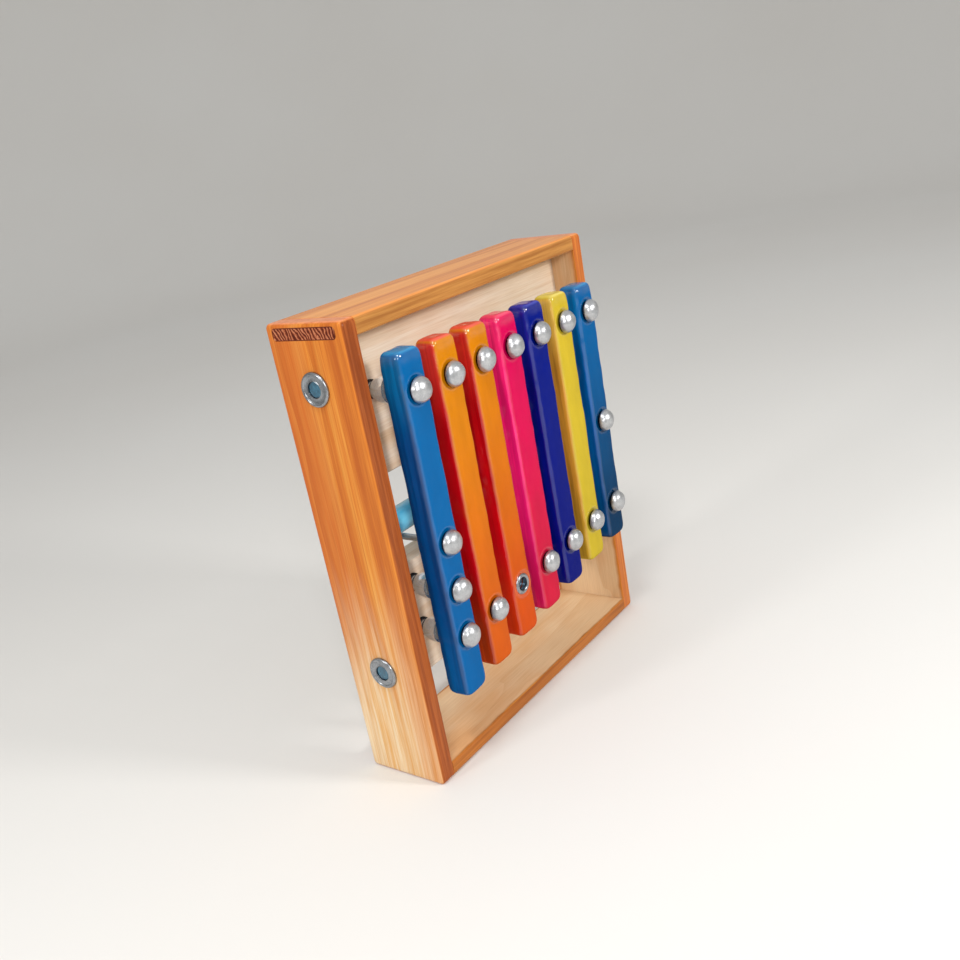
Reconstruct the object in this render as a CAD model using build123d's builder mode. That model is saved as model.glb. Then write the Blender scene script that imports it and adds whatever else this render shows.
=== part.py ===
"""Seven-bar xylophone: an open wooden box frame with chunky lacquered bars on dome-head screws.

Units are millimetres. The instrument stands on its bottom board, +Z up, with the bars in
front (-Y). The origin is the centre of the bottom board's underside.
"""

import os

from build123d import *

# ---------------------------------------------------------------- driving dimensions
# Box frame
frame_width = 240.0
frame_depth = 58.0
frame_height = 286.0
side_thickness = 11.0
end_thickness = 10.0
corner_radius = 3.0
outer_edge_radius = 2.2
inner_edge_radius = 0.8

# Through tenons that carry the top board, and the dowels that carry the bottom board
tenon_height = 7.2
tenon_cover = 2.4
tenon_shoulder = 5.0
tenon_end_radius = 2.4
dowel_diameter = 6.0
dowel_length = 26.0
dowel_depth_in_side = 7.0
dowel_inset = 13.0

# Rails behind the bars
rail_thickness = 20.0
rail_edge_radius = 1.5
upper_rail_height = 86.0
lower_rail_height = 72.0
lower_rail_below_row = 30.0
rail_screw_diameter = 4.5
rail_screw_length = 34.0
rail_screw_head_diameter = 8.6
rail_screw_head_height = 3.0
plug_bore_diameter = 9.4
plug_bore_depth = 5.0
plug_crown = 0.6
plug_edge_radius = 0.5
upper_rail_screw_below_top = 36.5
lower_rail_screw_above_edge = 12.5
cup_washer_diameter = 20.0
cup_washer_bore = 9.6
cup_washer_rise = 1.8
cup_rim_height = 0.8
cup_crown_inset = 1.1
cup_shoulder_height = 1.3
cup_shoulder_inset = 2.2
cup_dip_height = 1.0
cup_dip_inset = 3.3
cup_lip_height = 1.35

# Round cross rod between the rails
rod_diameter = 16.0
rod_gap_below_upper_rail = 26.0
rod_socket_depth = 5.0
ferrule_wall = 1.2
ferrule_length = 7.0

# Sound bars
bar_count = 7
bar_width = 20.0
bar_thickness = 15.0
bar_stand_off = 0.5
bar_side_gap = 9.0
longest_bar = 211.0
bar_length_step = 4.8
bar_corner_radius = 4.5
bar_edge_radius = 2.4

# Screw rows: the upper row sinks and the lower row rises towards the shortest bar
upper_row_below_top = 45.5
upper_row_step = 0.35
upper_margin = 23.0
upper_margin_step = 0.8
lower_margin = 38.5
lower_margin_step = 2.0
rod_screw_offset = 5.5
second_lower_screw_rise = 29.5

# Bar screws and what they carry
shank_diameter = 4.0
shank_clearance = 0.35
rail_thread_depth = 14.0
rod_thread_depth = 6.0
head_diameter = 15.0
head_height = 6.2
head_skirt = 0.9
head_washer_diameter = 14.0
head_washer_thickness = 1.0
bar_float_gap = 0.9
grommet_diameter = 8.0
felt_diameter = 12.0
felt_thickness = 3.0
spacer_front_diameter = 16.0
spacer_bulge_diameter = 14.4
spacer_back_diameter = 9.0
spacer_collar = 1.6
spacer_washer_diameter = 11.0
spacer_washer_thickness = 1.5

# Eyelet and sunk screw at the lower end of the third bar
eyelet_bar = 3
eyelet_diameter = 13.5
eyelet_rise = 0.9
eyelet_collar_wall = 0.7
eyelet_collar_depth = 3.0
sunk_bore_diameter = 10.0
sunk_bore_depth = 7.0
sunk_head_diameter = 7.6
sunk_head_height = 3.0
sunk_socket_diameter = 3.6
sunk_socket_depth = 1.8

# ---------------------------------------------------------------- derived places
inner_width = frame_width - 2 * side_thickness
frame_front = -frame_depth / 2
rail_front = -rail_thickness / 2
upper_rail_top = frame_height - end_thickness
upper_rail_bottom = upper_rail_top - upper_rail_height
bar_pitch = (inner_width - 2 * bar_side_gap - bar_width) / (bar_count - 1)
bar_back = frame_front - bar_stand_off
bar_front = bar_back - bar_thickness
bore_diameter = shank_diameter + 2 * shank_clearance

bar_x = [(i - (bar_count - 1) / 2) * bar_pitch for i in range(bar_count)]
bar_length = [longest_bar - bar_length_step * i for i in range(bar_count)]
upper_z = [frame_height - upper_row_below_top - upper_row_step * i for i in range(bar_count)]
bar_top = [upper_z[i] + upper_margin - upper_margin_step * i for i in range(bar_count)]
lower_z = [bar_top[i] - bar_length[i] + lower_margin - lower_margin_step * i for i in range(bar_count)]

lower_rail_bottom = lower_z[0] - lower_rail_below_row
lower_rail_top = lower_rail_bottom + lower_rail_height
rod_z = upper_rail_bottom - rod_gap_below_upper_rail - rod_diameter / 2
upper_rail_screw_z = frame_height - upper_rail_screw_below_top
lower_rail_screw_z = lower_rail_bottom + lower_rail_screw_above_edge
rail_screw_heights = [upper_rail_screw_z, lower_rail_screw_z]

upper_row = [(bar_x[i], upper_z[i]) for i in range(bar_count)]
lower_row = [(bar_x[i], lower_z[i]) for i in range(bar_count) if i != eyelet_bar - 1]
eyelet_place = (bar_x[eyelet_bar - 1], lower_z[eyelet_bar - 1])
rod_row = [(bar_x[0], rod_z - rod_screw_offset), (bar_x[-1], rod_z + rod_screw_offset)]
second_lower_screw = (bar_x[0], lower_z[0] + second_lower_screw_rise)

domed_places = upper_row + lower_row + rod_row + [second_lower_screw]
rail_places = upper_row + lower_row + [second_lower_screw, eyelet_place]

# Stack between a bar and its rail, from the bar backwards
felt_front = bar_back + bar_float_gap
spacer_front = felt_front + felt_thickness
spacer_back = rail_front - spacer_washer_thickness
head_back = bar_front - bar_float_gap - head_washer_thickness


def facing_front(y):
    """Sketch plane at depth y that looks towards the player: its x is X and its y is Z."""
    return Plane.XZ.offset(-y)


def finish(builder, node):
    """Label one finished sub-part and write it."""
    builder.part.label = node
    export_step(builder.part, f"parts/{node}.step")


def discs(node, places, diameter, y_front, thickness):
    """Flat rings about the screw shanks, from y_front backwards."""
    with BuildPart() as rings:
        with BuildSketch(facing_front(y_front)):
            with Locations(*places):
                Circle(diameter / 2)
                Circle(bore_diameter / 2, mode=Mode.SUBTRACT)
        extrude(amount=-thickness)
    finish(rings, node)


os.makedirs("parts", exist_ok=True)

# ---------------------------------------------------------------- box frame
tenon_depth = frame_depth - 2 * tenon_shoulder
tenon_z = frame_height - tenon_cover - tenon_height / 2
dowel_z = end_thickness / 2
dowel_y = frame_depth / 2 - dowel_inset

with BuildPart() as left_side_board:
    with BuildSketch(Plane.YZ.offset(-frame_width / 2)):
        with Locations((0, frame_height / 2)):
            RectangleRounded(frame_depth, frame_height, corner_radius)
    extrude(amount=side_thickness)
    outer_face = left_side_board.faces().sort_by(Axis.X)[0]
    inner_face = left_side_board.faces().sort_by(Axis.X)[-1]
    fillet(outer_face.edges(), radius=outer_edge_radius)
    fillet(inner_face.edges(), radius=inner_edge_radius)
    # Through mortise for the top board's tenon
    with BuildSketch(Plane.YZ.offset(-frame_width / 2)):
        with Locations((0, tenon_z)):
            RectangleRounded(tenon_depth, tenon_height, tenon_end_radius)
    extrude(amount=side_thickness, mode=Mode.SUBTRACT)
    # Clearance holes for the rail screws, sunk for the plugs
    with BuildSketch(Plane.YZ.offset(-frame_width / 2)):
        with Locations(*[(0, z) for z in rail_screw_heights]):
            Circle(rail_screw_diameter / 2)
    extrude(amount=side_thickness, mode=Mode.SUBTRACT)
    with BuildSketch(Plane.YZ.offset(-frame_width / 2)):
        with Locations(*[(0, z) for z in rail_screw_heights]):
            Circle(plug_bore_diameter / 2)
    extrude(amount=plug_bore_depth, mode=Mode.SUBTRACT)
    # Blind sockets on the inner face for the rod and the dowels
    with BuildSketch(Plane.YZ.offset(-inner_width / 2)):
        with Locations((0, rod_z)):
            Circle(rod_diameter / 2)
    extrude(amount=-rod_socket_depth, mode=Mode.SUBTRACT)
    with BuildSketch(Plane.YZ.offset(-inner_width / 2)):
        with Locations((-dowel_y, dowel_z), (dowel_y, dowel_z)):
            Circle(dowel_diameter / 2)
    extrude(amount=-dowel_depth_in_side, mode=Mode.SUBTRACT)
finish(left_side_board, "left_side_board")

with BuildPart() as right_side_board:
    add(mirror(left_side_board.part, about=Plane.YZ))
finish(right_side_board, "right_side_board")


def cross_board(z_outer, z_inner):
    """Board between the sides: its outer long edges match the side boards' corners."""
    with BuildPart() as board:
        with BuildSketch(Plane.YZ):
            with Locations((0, (z_outer + z_inner) / 2)):
                Rectangle(frame_depth, end_thickness)
        extrude(amount=inner_width / 2, both=True)
        long_edges = board.edges().filter_by(Axis.X).sort_by(Axis.Z, reverse=z_outer > z_inner)
        fillet(long_edges[0:2], radius=corner_radius)
        long_edges = board.edges().filter_by(Axis.X).sort_by(Axis.Z, reverse=z_outer < z_inner)
        fillet(long_edges[0:2], radius=inner_edge_radius)
    return board


top_shell = cross_board(frame_height, frame_height - end_thickness)
with BuildPart() as top_board:
    add(top_shell.part)
    with BuildSketch(Plane.YZ):
        with Locations((0, tenon_z)):
            RectangleRounded(tenon_depth, tenon_height, tenon_end_radius)
    extrude(amount=frame_width / 2, both=True)
finish(top_board, "top_board")

bottom_shell = cross_board(0, end_thickness)
dowel_depth_in_board = dowel_length - dowel_depth_in_side
with BuildPart() as bottom_board:
    add(bottom_shell.part)
    for side in (-1, 1):
        with BuildSketch(Plane.YZ.offset(side * inner_width / 2)):
            with Locations((-dowel_y, dowel_z), (dowel_y, dowel_z)):
                Circle(dowel_diameter / 2)
        extrude(amount=-side * dowel_depth_in_board, mode=Mode.SUBTRACT)
finish(bottom_board, "bottom_board")

with BuildPart() as corner_dowels:
    for side in (-1, 1):
        with BuildSketch(Plane.YZ.offset(side * (inner_width / 2 + dowel_depth_in_side))):
            with Locations((-dowel_y, dowel_z), (dowel_y, dowel_z)):
                Circle(dowel_diameter / 2)
        extrude(amount=-side * dowel_length)
finish(corner_dowels, "corner_dowels")


# ---------------------------------------------------------------- rails and their screws
rail_screw_in_rail = rail_screw_length - (side_thickness - plug_bore_depth)


def rail(node, bottom, top, end_screw_z, screw_places):
    """Flat rail between the side boards, with pilot holes for its end and bar screws."""
    with BuildPart() as board:
        with BuildSketch(Plane.YZ):
            with Locations((0, (bottom + top) / 2)):
                Rectangle(rail_thickness, top - bottom)
        extrude(amount=inner_width / 2, both=True)
        fillet(board.edges().filter_by(Axis.X), radius=rail_edge_radius)
        with BuildSketch(facing_front(rail_front)):
            with Locations(*screw_places):
                Circle(shank_diameter / 2)
        extrude(amount=-rail_thread_depth, mode=Mode.SUBTRACT)
        for side in (-1, 1):
            with BuildSketch(Plane.YZ.offset(side * inner_width / 2)):
                with Locations((0, end_screw_z)):
                    Circle(rail_screw_diameter / 2)
            extrude(amount=-side * rail_screw_in_rail, mode=Mode.SUBTRACT)
    finish(board, node)


lower_rail_places = lower_row + [eyelet_place, second_lower_screw]
rail("upper_rail", upper_rail_bottom, upper_rail_top, upper_rail_screw_z, upper_row)
rail("lower_rail", lower_rail_bottom, lower_rail_top, lower_rail_screw_z, lower_rail_places)

# Screws through the side boards into the rails, sunk in bores under coloured plugs
with BuildPart() as rail_screws:
    for side in (-1, 1):
        seat = frame_width / 2 - plug_bore_depth
        with BuildSketch(Plane.YZ.offset(side * seat)):
            with Locations(*[(0, z) for z in rail_screw_heights]):
                Circle(rail_screw_diameter / 2)
        extrude(amount=-side * rail_screw_length)
        with BuildSketch(Plane.YZ.offset(side * seat)):
            with Locations(*[(0, z) for z in rail_screw_heights]):
                Circle(rail_screw_head_diameter / 2)
        extrude(amount=side * rail_screw_head_height)
finish(rail_screws, "rail_screws")

plug_length = plug_bore_depth - rail_screw_head_height + plug_crown
with BuildPart() as screw_plugs:
    for side in (-1, 1):
        plug_base = frame_width / 2 - plug_bore_depth + rail_screw_head_height
        with BuildSketch(Plane.YZ.offset(side * plug_base)):
            with Locations(*[(0, z) for z in rail_screw_heights]):
                Circle(plug_bore_diameter / 2)
        extrude(amount=side * plug_length)
    crown_edges = [
        screw_plugs.edges().filter_by(GeomType.CIRCLE).group_by(Axis.X)[0],
        screw_plugs.edges().filter_by(GeomType.CIRCLE).group_by(Axis.X)[-1],
    ]
    for ring in crown_edges:
        fillet(ring, radius=plug_edge_radius)
finish(screw_plugs, "screw_plugs")

# Dished washers: a rolled outer rim, a dip, and a raised inner lip round the plug
cup_inner = cup_washer_bore / 2
cup_outer = cup_washer_diameter / 2
with BuildPart() as cup_washers:
    for side in (-1, 1):
        for z in rail_screw_heights:
            face_x = side * frame_width / 2
            with BuildSketch(Plane(origin=(face_x, 0, z), x_dir=(side, 0, 0), z_dir=(0, -side, 0))):
                with BuildLine():
                    foot = Line((0, cup_inner), (0, cup_outer))
                    rim = Line(foot @ 1, (cup_rim_height, cup_outer))
                    rolled = ThreePointArc(
                        rim @ 1,
                        (cup_washer_rise, cup_outer - cup_crown_inset),
                        (cup_shoulder_height, cup_outer - cup_shoulder_inset),
                    )
                    dip = ThreePointArc(
                        rolled @ 1,
                        (cup_dip_height, cup_outer - cup_dip_inset),
                        (cup_lip_height, cup_inner),
                    )
                    Line(dip @ 1, foot @ 0)
                make_face()
            revolve(axis=Axis((face_x, 0, z), (1, 0, 0)))
finish(cup_washers, "cup_washers")

# ---------------------------------------------------------------- cross rod
rod_half = inner_width / 2 + rod_socket_depth
with BuildPart() as middle_rod:
    with BuildSketch(Plane.YZ):
        with Locations((0, rod_z)):
            Circle(rod_diameter / 2)
    extrude(amount=rod_half, both=True)
    with BuildSketch(facing_front(-rod_diameter / 2)):
        with Locations(*rod_row):
            Circle(shank_diameter / 2)
    extrude(amount=-(rod_diameter / 2 + rod_thread_depth), mode=Mode.SUBTRACT)
finish(middle_rod, "middle_rod")

with BuildPart() as rod_ferrules:
    for side in (-1, 1):
        with BuildSketch(Plane.YZ.offset(side * inner_width / 2)):
            with Locations((0, rod_z)):
                Circle(rod_diameter / 2 + ferrule_wall)
                Circle(rod_diameter / 2, mode=Mode.SUBTRACT)
        extrude(amount=-side * ferrule_length)
finish(rod_ferrules, "rod_ferrules")

# ---------------------------------------------------------------- sound bars
for i in range(bar_count):
    holes = [upper_row[i], (bar_x[i], lower_z[i])]
    holes += [place for place in rod_row + [second_lower_screw] if place[0] == bar_x[i]]
    has_eyelet = i == eyelet_bar - 1

    with BuildPart() as bar:
        with BuildSketch(facing_front(bar_back)):
            with Locations((bar_x[i], bar_top[i] - bar_length[i] / 2)):
                RectangleRounded(bar_width, bar_length[i], bar_corner_radius)
        extrude(amount=bar_thickness)
        front_and_back = bar.faces().filter_by(Axis.Y)
        fillet(front_and_back.edges(), radius=bar_edge_radius)
        with BuildSketch(facing_front(bar_back)):
            with Locations(*holes):
                Circle(grommet_diameter / 2)
        extrude(amount=bar_thickness, mode=Mode.SUBTRACT)
        if has_eyelet:
            with BuildSketch(facing_front(bar_front)):
                with Locations(eyelet_place):
                    Circle(sunk_bore_diameter / 2)
            extrude(amount=-sunk_bore_depth, mode=Mode.SUBTRACT)
    finish(bar, f"bar_{i + 1}")

    # Rubber grommets line the bar's holes; the eyelet's one stops under its sunk bore
    with BuildPart() as grommets:
        for place in holes:
            sunk = has_eyelet and place == eyelet_place
            length = bar_thickness - sunk_bore_depth if sunk else bar_thickness
            with BuildSketch(facing_front(bar_back)):
                with Locations(place):
                    Circle(grommet_diameter / 2)
                    Circle(bore_diameter / 2, mode=Mode.SUBTRACT)
            extrude(amount=length)
    finish(grommets, f"bar_{i + 1}_grommets")

# ---------------------------------------------------------------- bar screws
def dome_screws(node, places, tip_y):
    """Dome-head screws whose shanks run from the head back to tip_y."""
    radius = head_diameter / 2
    with BuildPart() as screws:
        for x, z in places:
            axis_plane = Plane(origin=(x, 0, z), x_dir=(1, 0, 0), z_dir=(0, 0, 1))
            with BuildSketch(axis_plane):
                with BuildLine():
                    seat = Line((0, head_back), (radius, head_back))
                    Line(seat @ 1, (radius, head_back - head_skirt))
                    EllipticalCenterArc(
                        (0, head_back - head_skirt),
                        radius,
                        head_height - head_skirt,
                        start_angle=270,
                        arc_size=90,
                    )
                    Line((0, head_back - head_height), (0, head_back))
                make_face()
            revolve(axis=Axis((x, 0, z), (0, 1, 0)))
        with BuildSketch(facing_front(head_back)):
            with Locations(*places):
                Circle(shank_diameter / 2)
        extrude(amount=-(tip_y - head_back))
    finish(screws, node)


rail_tip = rail_front + rail_thread_depth
dome_screws("upper_screws", upper_row, rail_tip)
dome_screws("lower_screws", lower_row + [second_lower_screw], rail_tip)
dome_screws("rod_screws", rod_row, rod_thread_depth)

# Screw sunk in the third bar: a short socket head inside the eyelet
sunk_floor = bar_front + sunk_bore_depth
sunk_head_back = sunk_floor - bar_float_gap
with BuildPart() as sunk_screw:
    with BuildSketch(facing_front(sunk_head_back)):
        with Locations(eyelet_place):
            Circle(sunk_head_diameter / 2)
    extrude(amount=sunk_head_height)
    with BuildSketch(facing_front(sunk_head_back)):
        with Locations(eyelet_place):
            Circle(shank_diameter / 2)
    extrude(amount=-(rail_tip - sunk_head_back))
    with BuildSketch(facing_front(sunk_head_back - sunk_head_height)):
        with Locations(eyelet_place):
            RegularPolygon(sunk_socket_diameter / 2, 6)
    extrude(amount=-sunk_socket_depth, mode=Mode.SUBTRACT)
finish(sunk_screw, "sunk_screw")

# Eyelet: a flanged ring on the bar's face with a collar down the sunk bore
collar_outer = sunk_bore_diameter / 2
collar_inner = collar_outer - eyelet_collar_wall
flange = eyelet_diameter / 2
eyelet_x, eyelet_z = eyelet_place
with BuildPart() as eyelet:
    with BuildSketch(Plane(origin=(eyelet_x, 0, eyelet_z), x_dir=(1, 0, 0), z_dir=(0, 0, 1))):
        with BuildLine():
            collar = Polyline(
                (collar_inner, bar_front - eyelet_rise / 2),
                (collar_inner, bar_front + eyelet_collar_depth),
                (collar_outer, bar_front + eyelet_collar_depth),
                (collar_outer, bar_front),
                (flange, bar_front),
            )
            ThreePointArc(
                collar @ 1,
                ((flange + collar_inner) / 2, bar_front - eyelet_rise),
                collar @ 0,
            )
        make_face()
    revolve(axis=Axis((eyelet_x, 0, eyelet_z), (0, 1, 0)))
finish(eyelet, "eyelet")

# ---------------------------------------------------------------- what the screws carry
discs("head_washers", domed_places, head_washer_diameter, head_back, head_washer_thickness)
discs("felt_pads", rail_places, felt_diameter, felt_front, felt_thickness)
discs("spacer_washers", rail_places, spacer_washer_diameter, spacer_back, spacer_washer_thickness)

# Turned spacers: a wide collar behind the bar, then a barrel that narrows to the rail
with BuildPart() as spacers:
    front_radius = spacer_front_diameter / 2
    bulge_radius = spacer_bulge_diameter / 2
    back_radius = spacer_back_diameter / 2
    for x, z in rail_places:
        with BuildSketch(Plane(origin=(x, 0, z), x_dir=(1, 0, 0), z_dir=(0, 0, 1))):
            with BuildLine():
                front = Line((bore_diameter / 2, spacer_front), (front_radius, spacer_front))
                collar = Line(front @ 1, (front_radius, spacer_front + spacer_collar))
                barrel = ThreePointArc(
                    collar @ 1,
                    (bulge_radius, (spacer_front + spacer_back) / 2),
                    (back_radius, spacer_back - spacer_collar),
                )
                neck = Line(barrel @ 1, (back_radius, spacer_back))
                back = Line(neck @ 1, (bore_diameter / 2, spacer_back))
                Line(back @ 1, front @ 0)
            make_face()
        revolve(axis=Axis((x, 0, z), (0, 1, 0)))
finish(spacers, "spacers")
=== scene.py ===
"""Looks of the seven-bar xylophone: lacquered wood frame, glossy bars and satin metal fittings.

Everything is in metres, in the CAD frame: X runs along the row of bars, -Y faces the player,
Z is up. Places come from the CAD nodes' boxes.
"""

import math

import bmesh
import bpy
from mathutils import Matrix, Vector, noise


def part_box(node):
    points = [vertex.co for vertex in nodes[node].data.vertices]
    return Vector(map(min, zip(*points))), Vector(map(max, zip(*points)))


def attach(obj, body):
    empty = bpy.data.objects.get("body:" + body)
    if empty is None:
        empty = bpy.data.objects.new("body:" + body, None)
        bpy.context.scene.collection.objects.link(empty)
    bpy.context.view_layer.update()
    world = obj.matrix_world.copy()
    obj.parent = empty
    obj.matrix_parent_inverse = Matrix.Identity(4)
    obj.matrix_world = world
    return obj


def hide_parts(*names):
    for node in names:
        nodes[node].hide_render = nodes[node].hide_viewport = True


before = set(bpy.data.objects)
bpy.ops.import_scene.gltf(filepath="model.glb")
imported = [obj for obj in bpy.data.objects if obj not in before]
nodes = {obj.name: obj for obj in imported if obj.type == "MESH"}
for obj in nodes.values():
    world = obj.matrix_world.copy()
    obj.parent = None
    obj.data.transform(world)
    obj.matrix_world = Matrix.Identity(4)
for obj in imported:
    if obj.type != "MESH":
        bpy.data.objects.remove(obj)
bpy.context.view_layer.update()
MM = 0.001
WELD = 0.001 * MM

# ---------------------------------------------------------------- places taken from the frame
frame_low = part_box("left_side_board")[0]
frame_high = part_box("right_side_board")[1]
centre = (frame_low + frame_high) / 2
half_depth = (frame_high.y - frame_low.y) / 2
inner_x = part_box("right_side_board")[0].x
BARS = [f"bar_{i}" for i in range(1, 8)]


# ---------------------------------------------------------------- shader helpers
class Shader:
    """One material's node tree round a Principled BSDF, with short ways to add and join nodes."""

    def __init__(self, name, **constants):
        self.material = bpy.data.materials.new(name)
        self.material.use_nodes = True
        self.tree = self.material.node_tree
        self.tree.nodes.clear()
        self.output = self.tree.nodes.new("ShaderNodeOutputMaterial")
        self.bsdf = self.tree.nodes.new("ShaderNodeBsdfPrincipled")
        self.join(self.bsdf.outputs["BSDF"], self.output.inputs["Surface"])
        for key, value in constants.items():
            self.bsdf.inputs[key.replace("_", " ").title().replace("Ior", "IOR")].default_value = value
        self.place = self.tree.nodes.new("ShaderNodeTexCoord").outputs["Object"]

    def join(self, source, target):
        self.tree.links.new(source, target)

    def feed(self, socket, value):
        """Put a number, a colour or another node's output into a socket."""
        if isinstance(value, bpy.types.NodeSocket):
            self.join(value, socket)
        else:
            socket.default_value = value

    def math(self, operation, *values):
        node = self.tree.nodes.new("ShaderNodeMath")
        node.operation = operation
        for socket, value in zip(node.inputs, values):
            self.feed(socket, value)
        return node.outputs[0]

    def split(self, vector):
        node = self.tree.nodes.new("ShaderNodeSeparateXYZ")
        self.join(vector, node.inputs[0])
        return node.outputs

    def mapped(self, scale=(1, 1, 1), offset=(0, 0, 0), turn=(0, 0, 0)):
        """The object's own coordinates, scaled, turned and moved."""
        node = self.tree.nodes.new("ShaderNodeMapping")
        self.join(self.place, node.inputs["Vector"])
        node.inputs["Scale"].default_value = scale
        node.inputs["Location"].default_value = offset
        node.inputs["Rotation"].default_value = [math.radians(a) for a in turn]
        return node.outputs[0]

    def noise(self, vector, scale, detail=3.0, roughness=0.5, distortion=0.0):
        node = self.tree.nodes.new("ShaderNodeTexNoise")
        self.join(vector, node.inputs["Vector"])
        for key, value in (("Scale", scale), ("Detail", detail), ("Roughness", roughness)):
            node.inputs[key].default_value = value
        node.inputs["Distortion"].default_value = distortion
        return node.outputs["Fac"]

    def wave(self, vector, scale, kind, axis, profile, distortion, detail, detail_scale):
        node = self.tree.nodes.new("ShaderNodeTexWave")
        node.wave_type = kind
        node.wave_profile = profile
        if kind == "BANDS":
            node.bands_direction = axis
        else:
            node.rings_direction = axis
        self.join(vector, node.inputs["Vector"])
        for key, value in (("Scale", scale), ("Distortion", distortion), ("Detail", detail)):
            node.inputs[key].default_value = value
        node.inputs["Detail Scale"].default_value = detail_scale
        return node.outputs["Fac"]

    def ramp(self, value, stops):
        """A value turned into colours: stops are (position, colour)."""
        node = self.tree.nodes.new("ShaderNodeValToRGB")
        self.join(value, node.inputs[0])
        elements = node.color_ramp.elements
        while len(elements) < len(stops):
            elements.new(0.5)
        for element, (position, colour) in zip(elements, stops):
            element.position = position
            element.color = (*colour, 1.0)
        return node.outputs["Color"]

    def steps(self, value, low, high):
        """Smooth step from 0 at low to 1 at high."""
        node = self.tree.nodes.new("ShaderNodeMapRange")
        node.interpolation_type = "SMOOTHSTEP"
        self.feed(node.inputs["Value"], value)
        node.inputs["From Min"].default_value = low
        node.inputs["From Max"].default_value = high
        return node.outputs["Result"]

    def spread(self, value, low, high):
        """A 0 to 1 value spread over low to high."""
        node = self.tree.nodes.new("ShaderNodeMapRange")
        self.feed(node.inputs["Value"], value)
        node.inputs["To Min"].default_value = low
        node.inputs["To Max"].default_value = high
        return node.outputs["Result"]

    def mix(self, first, second, factor, blend="MIX"):
        node = self.tree.nodes.new("ShaderNodeMix")
        node.data_type = "RGBA"
        node.blend_type = blend
        self.feed(node.inputs[0], factor)
        for socket, colour in ((node.inputs[6], first), (node.inputs[7], second)):
            self.feed(socket, (*colour, 1.0) if isinstance(colour, tuple) else colour)
        return node.outputs[2]

    def bump(self, height, strength, distance, base=None):
        node = self.tree.nodes.new("ShaderNodeBump")
        node.inputs["Strength"].default_value = strength
        node.inputs["Distance"].default_value = distance
        self.join(height, node.inputs["Height"])
        if base is not None:
            self.join(base, node.inputs["Normal"])
        return node.outputs[0]

    def normal_of_shape(self):
        node = self.tree.nodes.new("ShaderNodeTexCoord")
        return self.split(node.outputs["Normal"])

    def finish(self, colour, roughness=None, normal=None):
        self.join(colour, self.bsdf.inputs["Base Color"])
        if roughness is not None:
            self.join(roughness, self.bsdf.inputs["Roughness"])
        if normal is not None:
            self.join(normal, self.bsdf.inputs["Normal"])
            self.join(normal, self.bsdf.inputs["Coat Normal"])
        return self.material


def srgb(code):
    """A six-digit sRGB code as a linear colour."""
    parts = [int(code[i : i + 2], 16) / 255 for i in (0, 2, 4)]
    return tuple(p / 12.92 if p <= 0.04045 else ((p + 0.055) / 1.055) ** 2.4 for p in parts)


def paint(material, *names):
    """Give CAD nodes or new pieces this material."""
    for name in names:
        piece = nodes[name] if isinstance(name, str) else name
        piece.data.materials.clear()
        piece.data.materials.append(material)


# ---------------------------------------------------------------- wood
def wood(name, grain, tones, pith, patches=(), rings=22, gloss=0.34, seed=0.0):
    """Lacquered softwood: growth rings, long streaks and pores along the grain axis.

    tones are (light, middle, dark); rings is the ring density; pith is where the rings' centre
    lies across the grain; patches repaint some faces afterwards.
    """
    s = Shader(name, coat_weight=0.25, coat_ior=1.3, coat_roughness=0.12, specular_ior_level=0.08)
    along = {"X": (0.03, 1, 1), "Z": (1, 1, 0.03)}[grain]
    finer = {"X": (0.012, 1, 1), "Z": (1, 1, 0.012)}[grain]
    slow = {"X": (0.25, 1, 1), "Z": (1, 1, 0.25)}[grain]
    ring_place = s.mapped(scale=slow, offset=(pith[0] + seed, pith[1], pith[2]))
    rings_value = s.wave(ring_place, rings, "RINGS", grain, "SAW", 2.4, 2.0, 1.2)
    columns = s.noise(s.mapped(scale=along, offset=(seed * 3, 0, seed)), 90, 2.0, 0.55)
    streaks = s.noise(s.mapped(scale=along, offset=(0, seed, seed)), 430, 4.0, 0.62)
    pores = s.noise(s.mapped(scale=along, offset=(0, 0, seed)), 1600, 2.0, 0.5)
    late = s.steps(rings_value, 0.62, 0.98)
    blend = s.math("ADD", s.math("MULTIPLY", columns, 0.62), s.math("MULTIPLY", streaks, 0.38))
    colour = s.ramp(blend, [(0.34, tones[2]), (0.48, tones[1]), (0.66, tones[0])])
    colour = s.mix(colour, tones[2], s.math("MULTIPLY", late, 0.4))
    lines = s.noise(s.mapped(scale=finer, offset=(seed, seed, 0)), 900, 3.0, 0.6)
    colour = s.mix(colour, tones[2], s.math("MULTIPLY", s.steps(lines, 0.5, 0.66), 0.42))
    for patch in patches:
        colour = patch(s, colour, streaks)
    colour = s.mix(colour, (0.8, 0.62, 0.44), s.math("MULTIPLY", late, 0.3), "MULTIPLY")
    pitting = s.ramp(pores, [(0.35, (0.84, 0.78, 0.72)), (0.6, (1.03, 1.03, 1.03))])
    colour = s.mix(colour, pitting, 0.4, "MULTIPLY")
    roughness = s.spread(streaks, gloss - 0.07, gloss + 0.1)
    fine = s.bump(pores, 0.12, 0.1 * MM)
    normal = s.bump(s.math("ADD", late, streaks), 0.18, 0.2 * MM, fine)
    return s.finish(colour, roughness, normal)


def facing(s, axis_index, sign):
    """1 where the face looks along an axis, 0 elsewhere."""
    normal = s.math("MULTIPLY", s.normal_of_shape()[axis_index], sign)
    return s.steps(normal, 0.55, 0.9)


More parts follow.
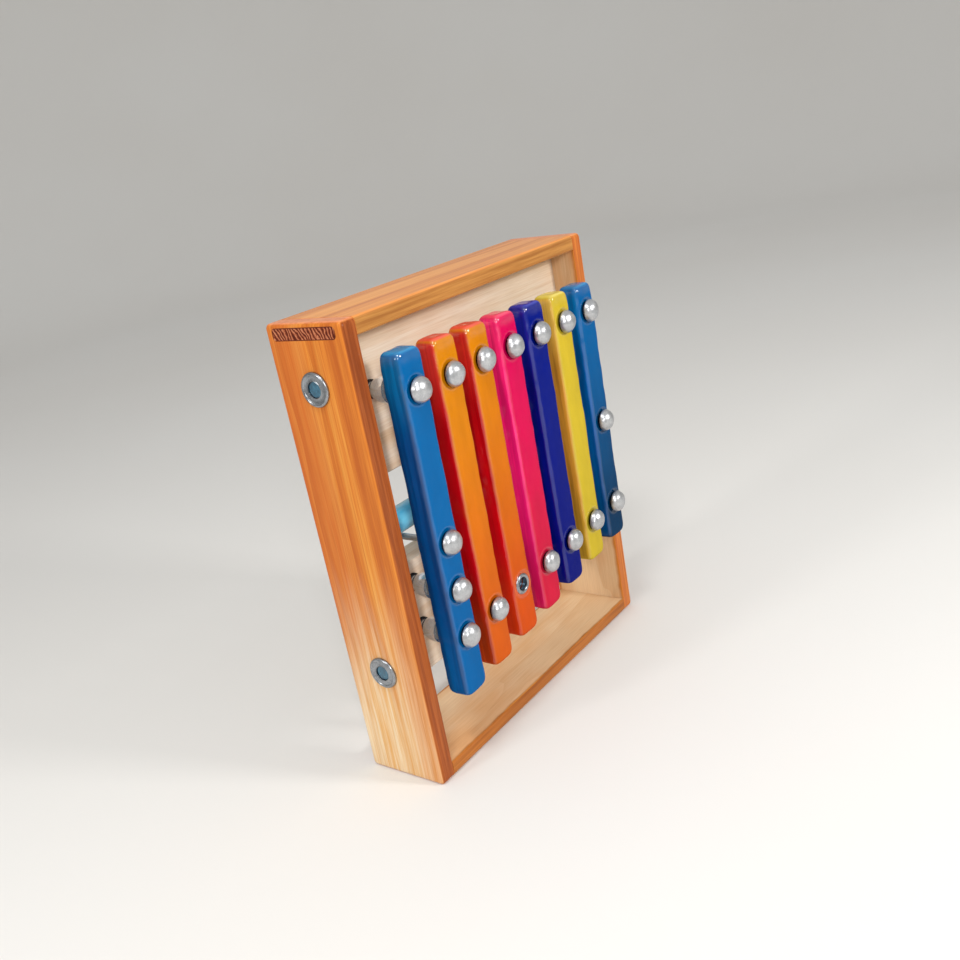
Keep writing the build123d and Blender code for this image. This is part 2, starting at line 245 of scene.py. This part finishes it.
def unstained(axis_index, sign, light, shade, border=8.0):
    """Pale, unstained inner face. Its stained border, in mm, is ragged at the frame's front and rear."""

    def patch(s, colour, streaks):
        ragged = s.spread(s.noise(s.mapped(scale=(9, 1, 9)), 7, 2.0), -0.5 * border * MM, 0.5 * border * MM)
        depth = s.math("ADD", s.math("ABSOLUTE", s.split(s.place)[1]), ragged)
        inside = s.steps(s.math("SUBTRACT", half_depth, depth), 0.5 * MM, border * MM)
        broad = s.noise(s.mapped(scale=(0.5, 1, 0.5)), 30, 2.0, 0.5)
        tone = s.math("ADD", s.math("MULTIPLY", broad, 0.75), s.math("MULTIPLY", streaks, 0.25))
        pale = s.ramp(tone, [(0.38, shade), (0.6, light)])
        return s.mix(colour, pale, s.math("MULTIPLY", facing(s, axis_index, sign), inside))

    return patch


def front_edge_painted_shade(light, dark):
    """The narrow front edge in a darker tone, in long blurred streaks; the darkness is painted shade."""

    def patch(s, colour, streaks):
        tone = s.ramp(streaks, [(0.36, dark), (0.62, light)])
        # Forward-facing faces take this darker tone: painted shade.
        return s.mix(colour, tone, facing(s, 1, -1))

    return patch


def faded_foot(light, shade):
    """Outer face of the left board: paler towards the foot, except for its front quarter and rear edge."""

    def patch(s, colour, streaks):
        x, y, z = s.split(s.place)
        wander = s.noise(s.mapped(scale=(1, 1, 0.06), offset=(0.5, 0.1, 0)), 110, 3.0, 0.6)
        height = s.math("ADD", z, s.spread(wander, -45 * MM, 45 * MM))
        low_part = s.steps(s.math("MULTIPLY", height, -1.0), -150 * MM, -30 * MM)
        behind_front = s.steps(s.math("ADD", y, s.spread(wander, -9 * MM, 9 * MM)), -24 * MM, -4 * MM)
        pale = s.ramp(streaks, [(0.36, shade), (0.58, light)])
        amount = s.math("MULTIPLY", low_part, s.spread(behind_front, 0.42, 1.0))
        return s.mix(colour, pale, s.math("MULTIPLY", amount, facing(s, 0, -1)))

    return patch


def deep_heart(dark):
    """Redder heartwood down the rear of the left board."""

    def patch(s, colour, streaks):
        y = s.split(s.place)[1]
        wander = s.noise(s.mapped(scale=(1, 1, 0.05), offset=(0.9, 0.4, 0)), 90, 3.0, 0.6)
        rear = s.steps(s.math("ADD", y, s.spread(wander, -22 * MM, 22 * MM)), -6 * MM, 10 * MM)
        return s.mix(colour, dark, s.math("MULTIPLY", rear, 0.5))

    return patch


def tenon_end(s, colour, streaks):
    """Dark hatched end grain on the ends of the top board's tenons, with a darker outline."""
    x, y, z = s.split(s.place)
    outside = s.math("GREATER_THAN", s.math("ABSOLUTE", x), inner_x + 2 * MM)
    ends = s.math("MULTIPLY", s.steps(s.math("ABSOLUTE", s.normal_of_shape()[0]), 0.7, 0.9), outside)
    slant = (24, 0, 0)
    strokes = s.wave(s.mapped(turn=slant), 135, "BANDS", "Y", "TRI", 9.0, 3.0, 1.1)
    flecks = s.noise(s.mapped(scale=(1, 1, 0.45), turn=slant), 560, 3.0, 0.65, 1.2)
    value = s.math("ADD", s.math("MULTIPLY", strokes, 0.55), s.math("MULTIPLY", flecks, 0.55))
    hatch_tones = ((0.36, "501e12"), (0.52, "7c3822"), (0.68, "a45e40"), (0.86, "cc8862"))
    hatch = s.ramp(value, [(position, srgb(code)) for position, code in hatch_tones])
    off_y = s.math("SUBTRACT", s.math("ABSOLUTE", y), tenon_half_depth)
    off_z = s.math("SUBTRACT", s.math("ABSOLUTE", s.math("SUBTRACT", z, tenon_z)), tenon_half_height)
    border = s.steps(s.math("MAXIMUM", off_y, off_z), -0.8 * MM, -0.3 * MM)
    return s.mix(colour, s.mix(hatch, srgb("5e2616"), border), ends)


def end_grain_faces(s, colour, streaks):
    """Side boards' upper and lower ends: pinker, with short end-grain flecks."""
    ends = s.steps(s.math("ABSOLUTE", s.normal_of_shape()[2]), 0.6, 0.95)
    flecks = s.noise(s.mapped(scale=(1, 0.35, 1)), 900, 3.0, 0.6)
    tone = s.ramp(flecks, [(0.3, srgb("c87650")), (0.6, srgb("e8986c"))])
    return s.mix(colour, tone, s.math("MULTIPLY", ends, 0.8))


# The tenon's end on the side boards' outer faces
top_board_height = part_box("top_board")[1].z
tenon_half_height = 3.6 * MM
tenon_z = top_board_height - 2.4 * MM - tenon_half_height
tenon_half_depth = half_depth - 5.0 * MM

HONEY = (srgb("e2a04a"), srgb("d07c30"), srgb("b45e24"))
PINKISH = (srgb("eaa65c"), srgb("df934c"), srgb("be7036"))
BRIGHT_HONEY = (srgb("d69044"), srgb("c67c34"), srgb("98582a"))
CREAM = (srgb("f2dcbe"), srgb("e8c39c"))
PEACH = (srgb("eccca4"), srgb("e2b280"))

# Each board's front-edge tones below are darker than its faces: painted shade.
left_wood = wood(
    "lacquered_pine_left",
    "Z",
    HONEY,
    (0.17, 0.03, 0),
    [
        deep_heart(srgb("b85626")),
        faded_foot(srgb("e6ceaa"), srgb("dca868")),
        unstained(0, 1, *CREAM),
        front_edge_painted_shade(srgb("a85a2a"), srgb("84401c")),
        end_grain_faces,
    ],
)
right_wood = wood(
    "lacquered_pine_right",
    "Z",
    HONEY,
    (-0.15, 0.05, 0),
    [unstained(0, -1, *PEACH, border=4.0), front_edge_painted_shade(srgb("cc7834"), srgb("b05c28")), end_grain_faces],
    seed=0.31,
)
top_wood = wood(
    "lacquered_pine_top",
    "X",
    PINKISH,
    (0, 0.04, -0.33),
    [unstained(2, -1, *CREAM), front_edge_painted_shade(srgb("bc8444"), srgb("9c6430")), tenon_end],
    seed=0.12,
)
bottom_wood = wood(
    "lacquered_pine_bottom",
    "X",
    BRIGHT_HONEY,
    (0, 0.02, 0.06),
    [unstained(2, 1, *PEACH, border=2.5), front_edge_painted_shade(srgb("b87030"), srgb("9a5824"))],
    seed=0.57,
)
RAIL_TONES = (srgb("ece0d0"), srgb("e4d0b8"), srgb("dabfa0"))
rail_wood = wood("pale_satin_plank", "X", RAIL_TONES, (0, 0.05, -0.12), rings=12, gloss=0.3, seed=0.83)
DOWEL_TONES = CREAM + (srgb("c9a070"),)
dowel_wood = wood("plain_dowel_wood", "X", DOWEL_TONES, (0, 0, 0), rings=60, gloss=0.5, seed=0.4)

paint(left_wood, "left_side_board")
paint(right_wood, "right_side_board")
paint(top_wood, "top_board")
paint(bottom_wood, "bottom_board")
paint(rail_wood, "upper_rail", "lower_rail")
paint(dowel_wood, "corner_dowels")


# ---------------------------------------------------------------- glossy lacquer
def lacquer(name, node, front_top, front_bottom, flank_colour_and_shade, crown):
    """Gloss lacquer. The front runs from one tone at the top to another at the bottom. The flanks have
    tones of their own, partly the bar's colour and partly painted shade; the upper end and the top of the
    flanks take a lighter tone, partly painted light from above. The clear coat is thickest at the upper
    end, along the front ridges and round the screws."""
    s = Shader(name, specular_ior_level=0.0, coat_ior=1.75, coat_roughness=0.04)
    low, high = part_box(node)
    middle = (low + high) / 2
    half_width = (high.x - low.x) / 2
    x, y, z = s.split(s.place)
    wobble = s.noise(s.mapped(scale=(1, 1, 0.4)), 60, 2.0, 0.5)
    height = s.steps(s.math("ADD", z, s.spread(wobble, -12 * MM, 12 * MM)), low.z, high.z)
    front = s.mix(front_bottom, front_top, height)
    from_middle = s.math("ABSOLUTE", s.math("SUBTRACT", x, middle.x))
    edge = s.math("ADD", from_middle, s.spread(wobble, -0.6 * MM, 0.6 * MM))
    side = s.steps(edge, half_width - 1.6 * MM, half_width - 0.2 * MM)
    # Near the top the flanks lighten towards the upper-end tone: painted light from above.
    upper = s.math("MULTIPLY", s.steps(z, high.z - 55 * MM, high.z - 8 * MM), 0.42)
    downward = s.math("MULTIPLY", z, -1.0)
    lower = s.math("MULTIPLY", s.steps(downward, -low.z - 70 * MM, -low.z - 8 * MM), 0.55)
    # Flank tones, darker than the front on some bars, are partly painted shade.
    colour = s.mix(front, s.mix(s.mix(flank_colour_and_shade, crown, upper), front_bottom, lower), side)
    runs = s.noise(s.mapped(scale=(0.3, 1, 0.035), offset=(0, 0.4, 0)), 230, 2.0, 0.5)
    dark_run = s.math("MULTIPLY", s.steps(runs, 0.46, 0.6), side)
    colour = s.mix(colour, (0.55, 0.5, 0.55), s.math("MULTIPLY", dark_run, 0.6), "MULTIPLY")
    # The top face takes the lighter upper-end tone: partly painted light from above.
    top = s.steps(z, high.z - 2.2 * MM, high.z - 0.5 * MM)
    colour = s.mix(colour, crown, top)
    mottle = s.noise(s.mapped(scale=(1, 1, 0.25), offset=(0.2, 0, 0.7)), 120, 3.0, 0.55)
    clouds = s.ramp(mottle, [(0.3, (0.86, 0.86, 0.88)), (0.7, (1.08, 1.07, 1.05))])
    colour = s.mix(colour, clouds, 0.6, "MULTIPLY")
    flow = s.noise(s.mapped(scale=(1, 1, 0.6)), 130, 1.5, 0.45)
    specks = s.noise(s.mapped(), 900, 2.0, 0.5)
    normal = s.bump(specks, 0.03, 0.05 * MM, s.bump(flow, 0.55, 0.7 * MM))
    near_edge = s.steps(from_middle, half_width - 2.4 * MM, half_width - 1.3 * MM)
    near_front = s.steps(s.math("MULTIPLY", y, -1.0), -low.y - 2.6 * MM, -low.y - 1.4 * MM)
    near_top = s.steps(z, high.z - 9 * MM, high.z - 3 * MM)
    ridge = s.math("MULTIPLY", s.math("MULTIPLY", near_edge, near_front), 0.6)
    thick = s.math("MAXIMUM", ridge, near_top)
    for place in screws_through(node):
        across = s.math("SUBTRACT", x, place.x)
        upright = s.math("SUBTRACT", z, place.z)
        square = s.math("ADD", s.math("POWER", across, 2.0), s.math("POWER", upright, 2.0))
        outside = s.steps(s.math("SQRT", square), 8.8 * MM, 10.2 * MM)
        round_screw = s.math("MULTIPLY", s.math("SUBTRACT", 1.0, outside), 0.6)
        thick = s.math("MAXIMUM", thick, round_screw)
    s.join(s.spread(thick, 0.14, 1.0), s.bsdf.inputs["Coat Weight"])
    roughness = s.spread(mottle, 0.1, 0.2)
    return s.finish(colour, roughness, normal)


# Front at the top, front at the bottom, flanks (partly painted shade), upper end (lighter: partly painted
# light)
BAR_TONES = {
    "bar_1": ("005c98", "005a98", "003c74", "0a80b4"),
    "bar_2": ("c87a04", "c4540f", "c40812", "dc4a38"),
    "bar_3": ("c67604", "c2480c", "ca0a16", "dc4a34"),
    "bar_4": ("c8004e", "c01838", "ff2080", "e83c64"),
    "bar_5": ("001478", "000c6c", "001282", "1c2c9c"),
    "bar_6": ("c2a82a", "bca42a", "d49030", "dcc85c"),
    "bar_7": ("005894", "002e50", "005aa6", "0a78b0"),
}


def islands(node):
    """Middle of each separate solid in a CAD node."""
    mesh = bmesh.new()
    mesh.from_mesh(nodes[node].data)
    bmesh.ops.remove_doubles(mesh, verts=mesh.verts, dist=WELD)
    todo = set(mesh.verts)
    middles = []
    while todo:
        stack = [todo.pop()]
        points = []
        while stack:
            vertex = stack.pop()
            points.append(vertex.co.copy())
            for edge in vertex.link_edges:
                other = edge.other_vert(vertex)
                if other in todo:
                    todo.discard(other)
                    stack.append(other)
        low = [min(p[k] for p in points) for k in range(3)]
        high = [max(p[k] for p in points) for k in range(3)]
        middles.append((Vector(low) + Vector(high)) / 2)
    mesh.free()
    return middles


def reshaped(node, name, voxel, smoothing, push, end_smoothing=0):
    """A copy of a CAD node as one even skin, softened, with each point moved along its normal.

    push(point, normal) gives the distance moved; end_smoothing rounds the upper and lower ends more.
    """
    end_length = 7 * MM
    mesh = bmesh.new()
    mesh.from_mesh(nodes[node].data)
    bmesh.ops.remove_doubles(mesh, verts=mesh.verts, dist=WELD)
    data = bpy.data.meshes.new(name)
    mesh.to_mesh(data)
    mesh.free()
    piece = bpy.data.objects.new(name, data)
    bpy.context.scene.collection.objects.link(piece)
    remesh = piece.modifiers.new("even skin", "REMESH")
    remesh.mode = "VOXEL"
    remesh.voxel_size = voxel
    remesh.use_smooth_shade = True
    soften = piece.modifiers.new("softened edges", "SMOOTH")
    soften.iterations = smoothing
    graph = bpy.context.evaluated_depsgraph_get()
    even = bpy.data.meshes.new_from_object(piece.evaluated_get(graph))
    piece.modifiers.clear()
    piece.data = even
    bpy.data.meshes.remove(data)
    if end_smoothing:
        low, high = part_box(node)
        ends = piece.vertex_groups.new(name="ends")
        for vertex in even.vertices:
            from_end = min(vertex.co.z - low.z, high.z - vertex.co.z)
            ends.add([vertex.index], max(0.0, 1.0 - from_end / end_length), "REPLACE")
        rounder = piece.modifiers.new("rounded ends", "SMOOTH")
        rounder.iterations = end_smoothing
        rounder.vertex_group = ends.name
        graph = bpy.context.evaluated_depsgraph_get()
        rounded = bpy.data.meshes.new_from_object(piece.evaluated_get(graph))
        piece.modifiers.clear()
        piece.vertex_groups.clear()
        piece.data = rounded
        bpy.data.meshes.remove(even)
        even = rounded
    normals = [v.normal.copy() for v in even.vertices]
    for vertex, normal in zip(even.vertices, normals):
        vertex.co += normal * push(vertex.co, normal)
    even.polygons.foreach_set("use_smooth", [True] * len(even.polygons))
    even.name = name
    piece.name = name
    return piece


BAR_VOXEL = 0.8 * MM
BAR_SMOOTHING = 9
BAR_END_SMOOTHING = 26
SCREW_VOXEL = 0.5 * MM
SCREW_SMOOTHING = 3
SCREW_NODES = ("upper_screws", "lower_screws", "rod_screws", "sunk_screw")
screw_places = [middle for node in SCREW_NODES for middle in islands(node)]


def screws_through(bar):
    """Middles of the screws that pass through one bar."""
    low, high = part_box(bar)
    return [place for place in screw_places if low.x < place.x < high.x]


def lacquered_bar(bar):
    """One bar with poured lacquer: a slight crown, waves, and a swollen ring round each screw.

    The lacquer stays flat under the head washers, which the bar meets at the end of its travel.
    """
    low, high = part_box(bar)
    middle_x = (low.x + high.x) / 2
    half_width = (high.x - low.x) / 2
    screws = screws_through(bar)
    seat_radius = 7.4 * MM
    seat_edge = 1.6 * MM
    ring_radius = 8.8 * MM
    ring_spread = 0.6 * MM
    ring_height = 0.5 * MM
    crown_height = 0.3 * MM
    slow_height, slow_pitch = 0.34 * MM, 60.0
    quick_height, quick_pitch = 0.22 * MM, 150.0
    quick_offset = Vector((7.0, 3.0, 1.0))

    def push(point, normal):
        slow = noise.noise(point * slow_pitch) * slow_height
        quick = noise.noise(point * quick_pitch + quick_offset) * quick_height
        front = max(0.0, -normal.y)
        crown = (1.0 - min(1.0, abs(point.x - middle_x) / half_width) ** 2) * crown_height * front
        swell = 0.0
        seat = 1.0
        for place in screws:
            radius = math.hypot(point.x - place.x, point.z - place.z)
            swell += math.exp(-(((radius - ring_radius) / ring_spread) ** 2)) * ring_height * abs(normal.y)
            seat = min(seat, max(0.0, (radius - seat_radius) / seat_edge))
        return (slow + quick + crown) * seat + swell

    piece = reshaped(bar, f"{bar}_lacquered", BAR_VOXEL, BAR_SMOOTHING, push, BAR_END_SMOOTHING)
    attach(piece, f"{bar}_body")
    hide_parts(bar)
    return piece


for bar in BARS:
    bar_tones = [srgb(code) for code in BAR_TONES[bar]]
    paint(lacquer(f"{bar}_lacquer", bar, *bar_tones), bar, lacquered_bar(bar))


def hammered_screws(node):
    """Dome-head screws with slightly uneven, tumbled heads that stay inside the CAD heads."""
    head_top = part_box(node)[0].y
    head_depth = 5.5 * MM
    broad_dent, broad_pitch = 0.28 * MM, 150.0
    small_dent, small_pitch = 0.1 * MM, 420.0
    sunk = 0.2 * MM

    def push(point, normal):
        on_head = min(1.0, max(0.0, (head_top + head_depth - point.y) / MM))
        broad = noise.noise(point * broad_pitch) * broad_dent
        small = noise.noise(point * small_pitch) * small_dent
        return min(0.0, broad + small - sunk) * on_head

    piece = reshaped(node, f"{node}_tumbled", SCREW_VOXEL, SCREW_SMOOTHING, push)
    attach(piece, "frame")
    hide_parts(node)
    return piece


def rod_lacquer():
    s = Shader("sky_blue_lacquer", roughness=0.2, coat_weight=1.0, coat_roughness=0.04)
    mottle = s.noise(s.mapped(scale=(0.3, 1, 1)), 140, 3.0, 0.5)
    colour = s.ramp(mottle, [(0.3, srgb("40b8ea")), (0.7, srgb("88e0fc"))])
    return s.finish(colour, normal=s.bump(mottle, 0.2, 0.3 * MM))


paint(rod_lacquer(), "middle_rod")


# ---------------------------------------------------------------- metal, rubber, felt
def metal(name, tones, rough, grain_scale, dents, metallic=1.0):
    """Plated metal: fine grain, soft dents and roughness that varies."""
    s = Shader(name, metallic=metallic)
    grain = s.noise(s.mapped(), grain_scale, 3.0, 0.6)
    soft = s.noise(s.mapped(offset=(0.3, 0.1, 0)), 260, 2.0, 0.5)
    cloud = s.math("MULTIPLY", s.math("ADD", grain, soft), 0.5)
    colour = s.ramp(cloud, [(0.35, srgb(tones[0])), (0.65, srgb(tones[1]))])
    roughness = s.spread(grain, rough - 0.06, rough + 0.08)
    normal = s.bump(grain, 0.08, 0.06 * MM, s.bump(soft, dents, 0.4 * MM))
    return s.finish(colour, roughness, normal)


dome_metal = metal("satin_nickel_domes", ("a8aaad", "c8c9cb"), 0.34, 1000, 0.5, metallic=0.85)
cup_metal = metal("satin_nickel_washers", ("82868b", "a9adb2"), 0.28, 1400, 0.2)
chrome = metal("bright_chrome", ("e2e9f2", "f8fafd"), 0.09, 500, 0.3, metallic=0.8)
dark_steel = metal("blackened_steel", ("14161c", "2a2d36"), 0.32, 1200, 0.1)
blue_steel = metal("blue_grey_steel", ("4c6474", "7c94a4"), 0.34, 1200, 0.1)
for screws in ("upper_screws", "lower_screws", "rod_screws"):
    paint(dome_metal, screws, hammered_screws(screws))
paint(cup_metal, "cup_washers", "eyelet")
paint(chrome, "spacers", "rod_ferrules")
paint(dark_steel, "head_washers", "rail_screws")
paint(blue_steel, "sunk_screw")


def rubber():
    s = Shader("black_rubber", specular_ior_level=0.3)
    grit = s.noise(s.mapped(), 1800, 3.0, 0.6)
    colour = s.ramp(grit, [(0.3, srgb("141415")), (0.7, srgb("242426"))])
    return s.finish(colour, s.spread(grit, 0.6, 0.8), s.bump(grit, 0.2, 0.1 * MM))


def felt():
    s = Shader("charcoal_felt", sheen_weight=0.5, sheen_roughness=0.5, roughness=0.95)
    fibres = s.noise(s.mapped(), 1600, 5.0, 0.7, 2.0)
    clumps = s.noise(s.mapped(), 380, 2.0, 0.5)
    cloud = s.math("MULTIPLY", s.math("ADD", fibres, clumps), 0.5)
    colour = s.ramp(cloud, [(0.3, srgb("3a3836")), (0.7, srgb("5c5955"))])
    return s.finish(colour, normal=s.bump(fibres, 0.7, 0.35 * MM))


def plug():
    s = Shader("deep_blue_plug", coat_weight=0.6, coat_roughness=0.1)
    mottle = s.noise(s.mapped(), 500, 3.0, 0.6)
    colour = s.ramp(mottle, [(0.3, srgb("14445a")), (0.55, srgb("225a72")), (0.75, srgb("40788e"))])
    return s.finish(colour, s.spread(mottle, 0.25, 0.45), s.bump(mottle, 0.25, 0.2 * MM))


paint(rubber(), "spacer_washers", *[f"{bar}_grommets" for bar in BARS])
paint(felt(), "felt_pads")
paint(plug(), "screw_plugs")


# ---------------------------------------------------------------- stage
def stage_material():
    s = Shader("pale_stage", roughness=0.75, specular_ior_level=0.2)
    drift = s.noise(s.mapped(), 1.2, 2.0, 0.5)
    return s.finish(s.ramp(drift, [(0.3, srgb("e0deda")), (0.7, srgb("e3e2df"))]))


def round_stage():
    """Pale round floor that curves up into a low wall all the way round."""
    flat_radius, bend, wall_height = 2.4, 1.2, 2.2
    bend_steps, turn_steps = 20, 96
    profile = [(0.0, 0.0)]
    for k in range(bend_steps + 1):
        angle = math.pi / 2 * k / bend_steps
        profile.append((flat_radius + bend * math.sin(angle), bend - bend * math.cos(angle)))
    profile.append((flat_radius + bend, wall_height))
    mesh = bmesh.new()
    points = [mesh.verts.new((radius, 0.0, z)) for radius, z in profile]
    edges = [mesh.edges.new(pair) for pair in zip(points, points[1:])]
    bmesh.ops.spin(
        mesh,
        geom=points + edges,
        cent=(0, 0, 0),
        axis=(0, 0, 1),
        angle=2 * math.pi,
        steps=turn_steps,
        use_merge=True,
    )
    bmesh.ops.remove_doubles(mesh, verts=mesh.verts, dist=WELD)
    bmesh.ops.recalc_face_normals(mesh, faces=mesh.faces)
    data = bpy.data.meshes.new("stage_floor")
    mesh.to_mesh(data)
    mesh.free()
    data.polygons.foreach_set("use_smooth", [True] * len(data.polygons))
    floor = bpy.data.objects.new("stage_floor", data)
    bpy.context.scene.collection.objects.link(floor)
    data.materials.append(stage_material())


# The view: from the player's left and above, with the camera rolled.
# Azimuth is measured from straight in front, towards the player's left.
VIEW_AZIMUTH = 50.3
VIEW_ELEVATION = 19.35
VIEW_ROLL = 10.7
VIEW_DISTANCE = 0.662
FOCAL_LENGTH = 37.56
SENSOR_WIDTH = 36.0
AIM_FROM_CENTRE = Vector((0.0031, 0.0014, 0.0050))


def camera():
    """Camera that looks along the view direction at a point near the frame's centre."""
    azimuth, elevation = math.radians(VIEW_AZIMUTH), math.radians(VIEW_ELEVATION)
    towards = Vector(
        (
            math.sin(azimuth) * math.cos(elevation),
            math.cos(azimuth) * math.cos(elevation),
            -math.sin(elevation),
        )
    )
    aim = centre + AIM_FROM_CENTRE
    data = bpy.data.cameras.new("photo_view")
    data.lens = FOCAL_LENGTH
    data.sensor_width = SENSOR_WIDTH
    data.clip_start = 0.01
    eye = bpy.data.objects.new("photo_view", data)
    turn = towards.to_track_quat("-Z", "Y").to_matrix() @ Matrix.Rotation(math.radians(-VIEW_ROLL), 3, "Z")
    eye.matrix_world = Matrix.Translation(aim - towards * VIEW_DISTANCE) @ turn.to_4x4()
    bpy.context.scene.collection.objects.link(eye)
    bpy.context.scene.camera = eye


def area_light(name, azimuth, elevation, distance, size, power, tint=(1, 1, 1)):
    """Soft square light that looks at the frame's centre. Azimuth as for the view."""
    a, e = math.radians(azimuth), math.radians(elevation)
    away = Vector((-math.sin(a) * math.cos(e), -math.cos(a) * math.cos(e), math.sin(e)))
    data = bpy.data.lights.new(name, "AREA")
    data.shape = "RECTANGLE"
    data.size, data.size_y = size
    data.energy = power
    data.color = tint
    light = bpy.data.objects.new(name, data)
    turn = away.to_track_quat("Z", "Y").to_matrix().to_4x4()
    light.matrix_world = Matrix.Translation(centre + away * distance) @ turn
    bpy.context.scene.collection.objects.link(light)


WORLD_STRENGTH = 0.62

camera()
round_stage()
area_light("key", -12, 24, 1.3, (0.2, 0.2), 7.5, (1.0, 0.99, 0.97))
area_light("view_box", 46, 24, 1.5, (0.28, 0.28), 7)
area_light("left_box", 104, 24, 1.4, (0.2, 0.2), 4, (1.0, 0.98, 0.95))
area_light("top_box", 62, 60, 1.2, (0.2, 0.2), 4)
world = bpy.data.worlds.new("soft_studio")
world.use_nodes = True
background = world.node_tree.nodes["Background"]
background.inputs["Color"].default_value = (1.0, 1.0, 1.0, 1.0)
background.inputs["Strength"].default_value = WORLD_STRENGTH
bpy.context.scene.world = world
bpy.context.scene.view_settings.view_transform = "Standard"
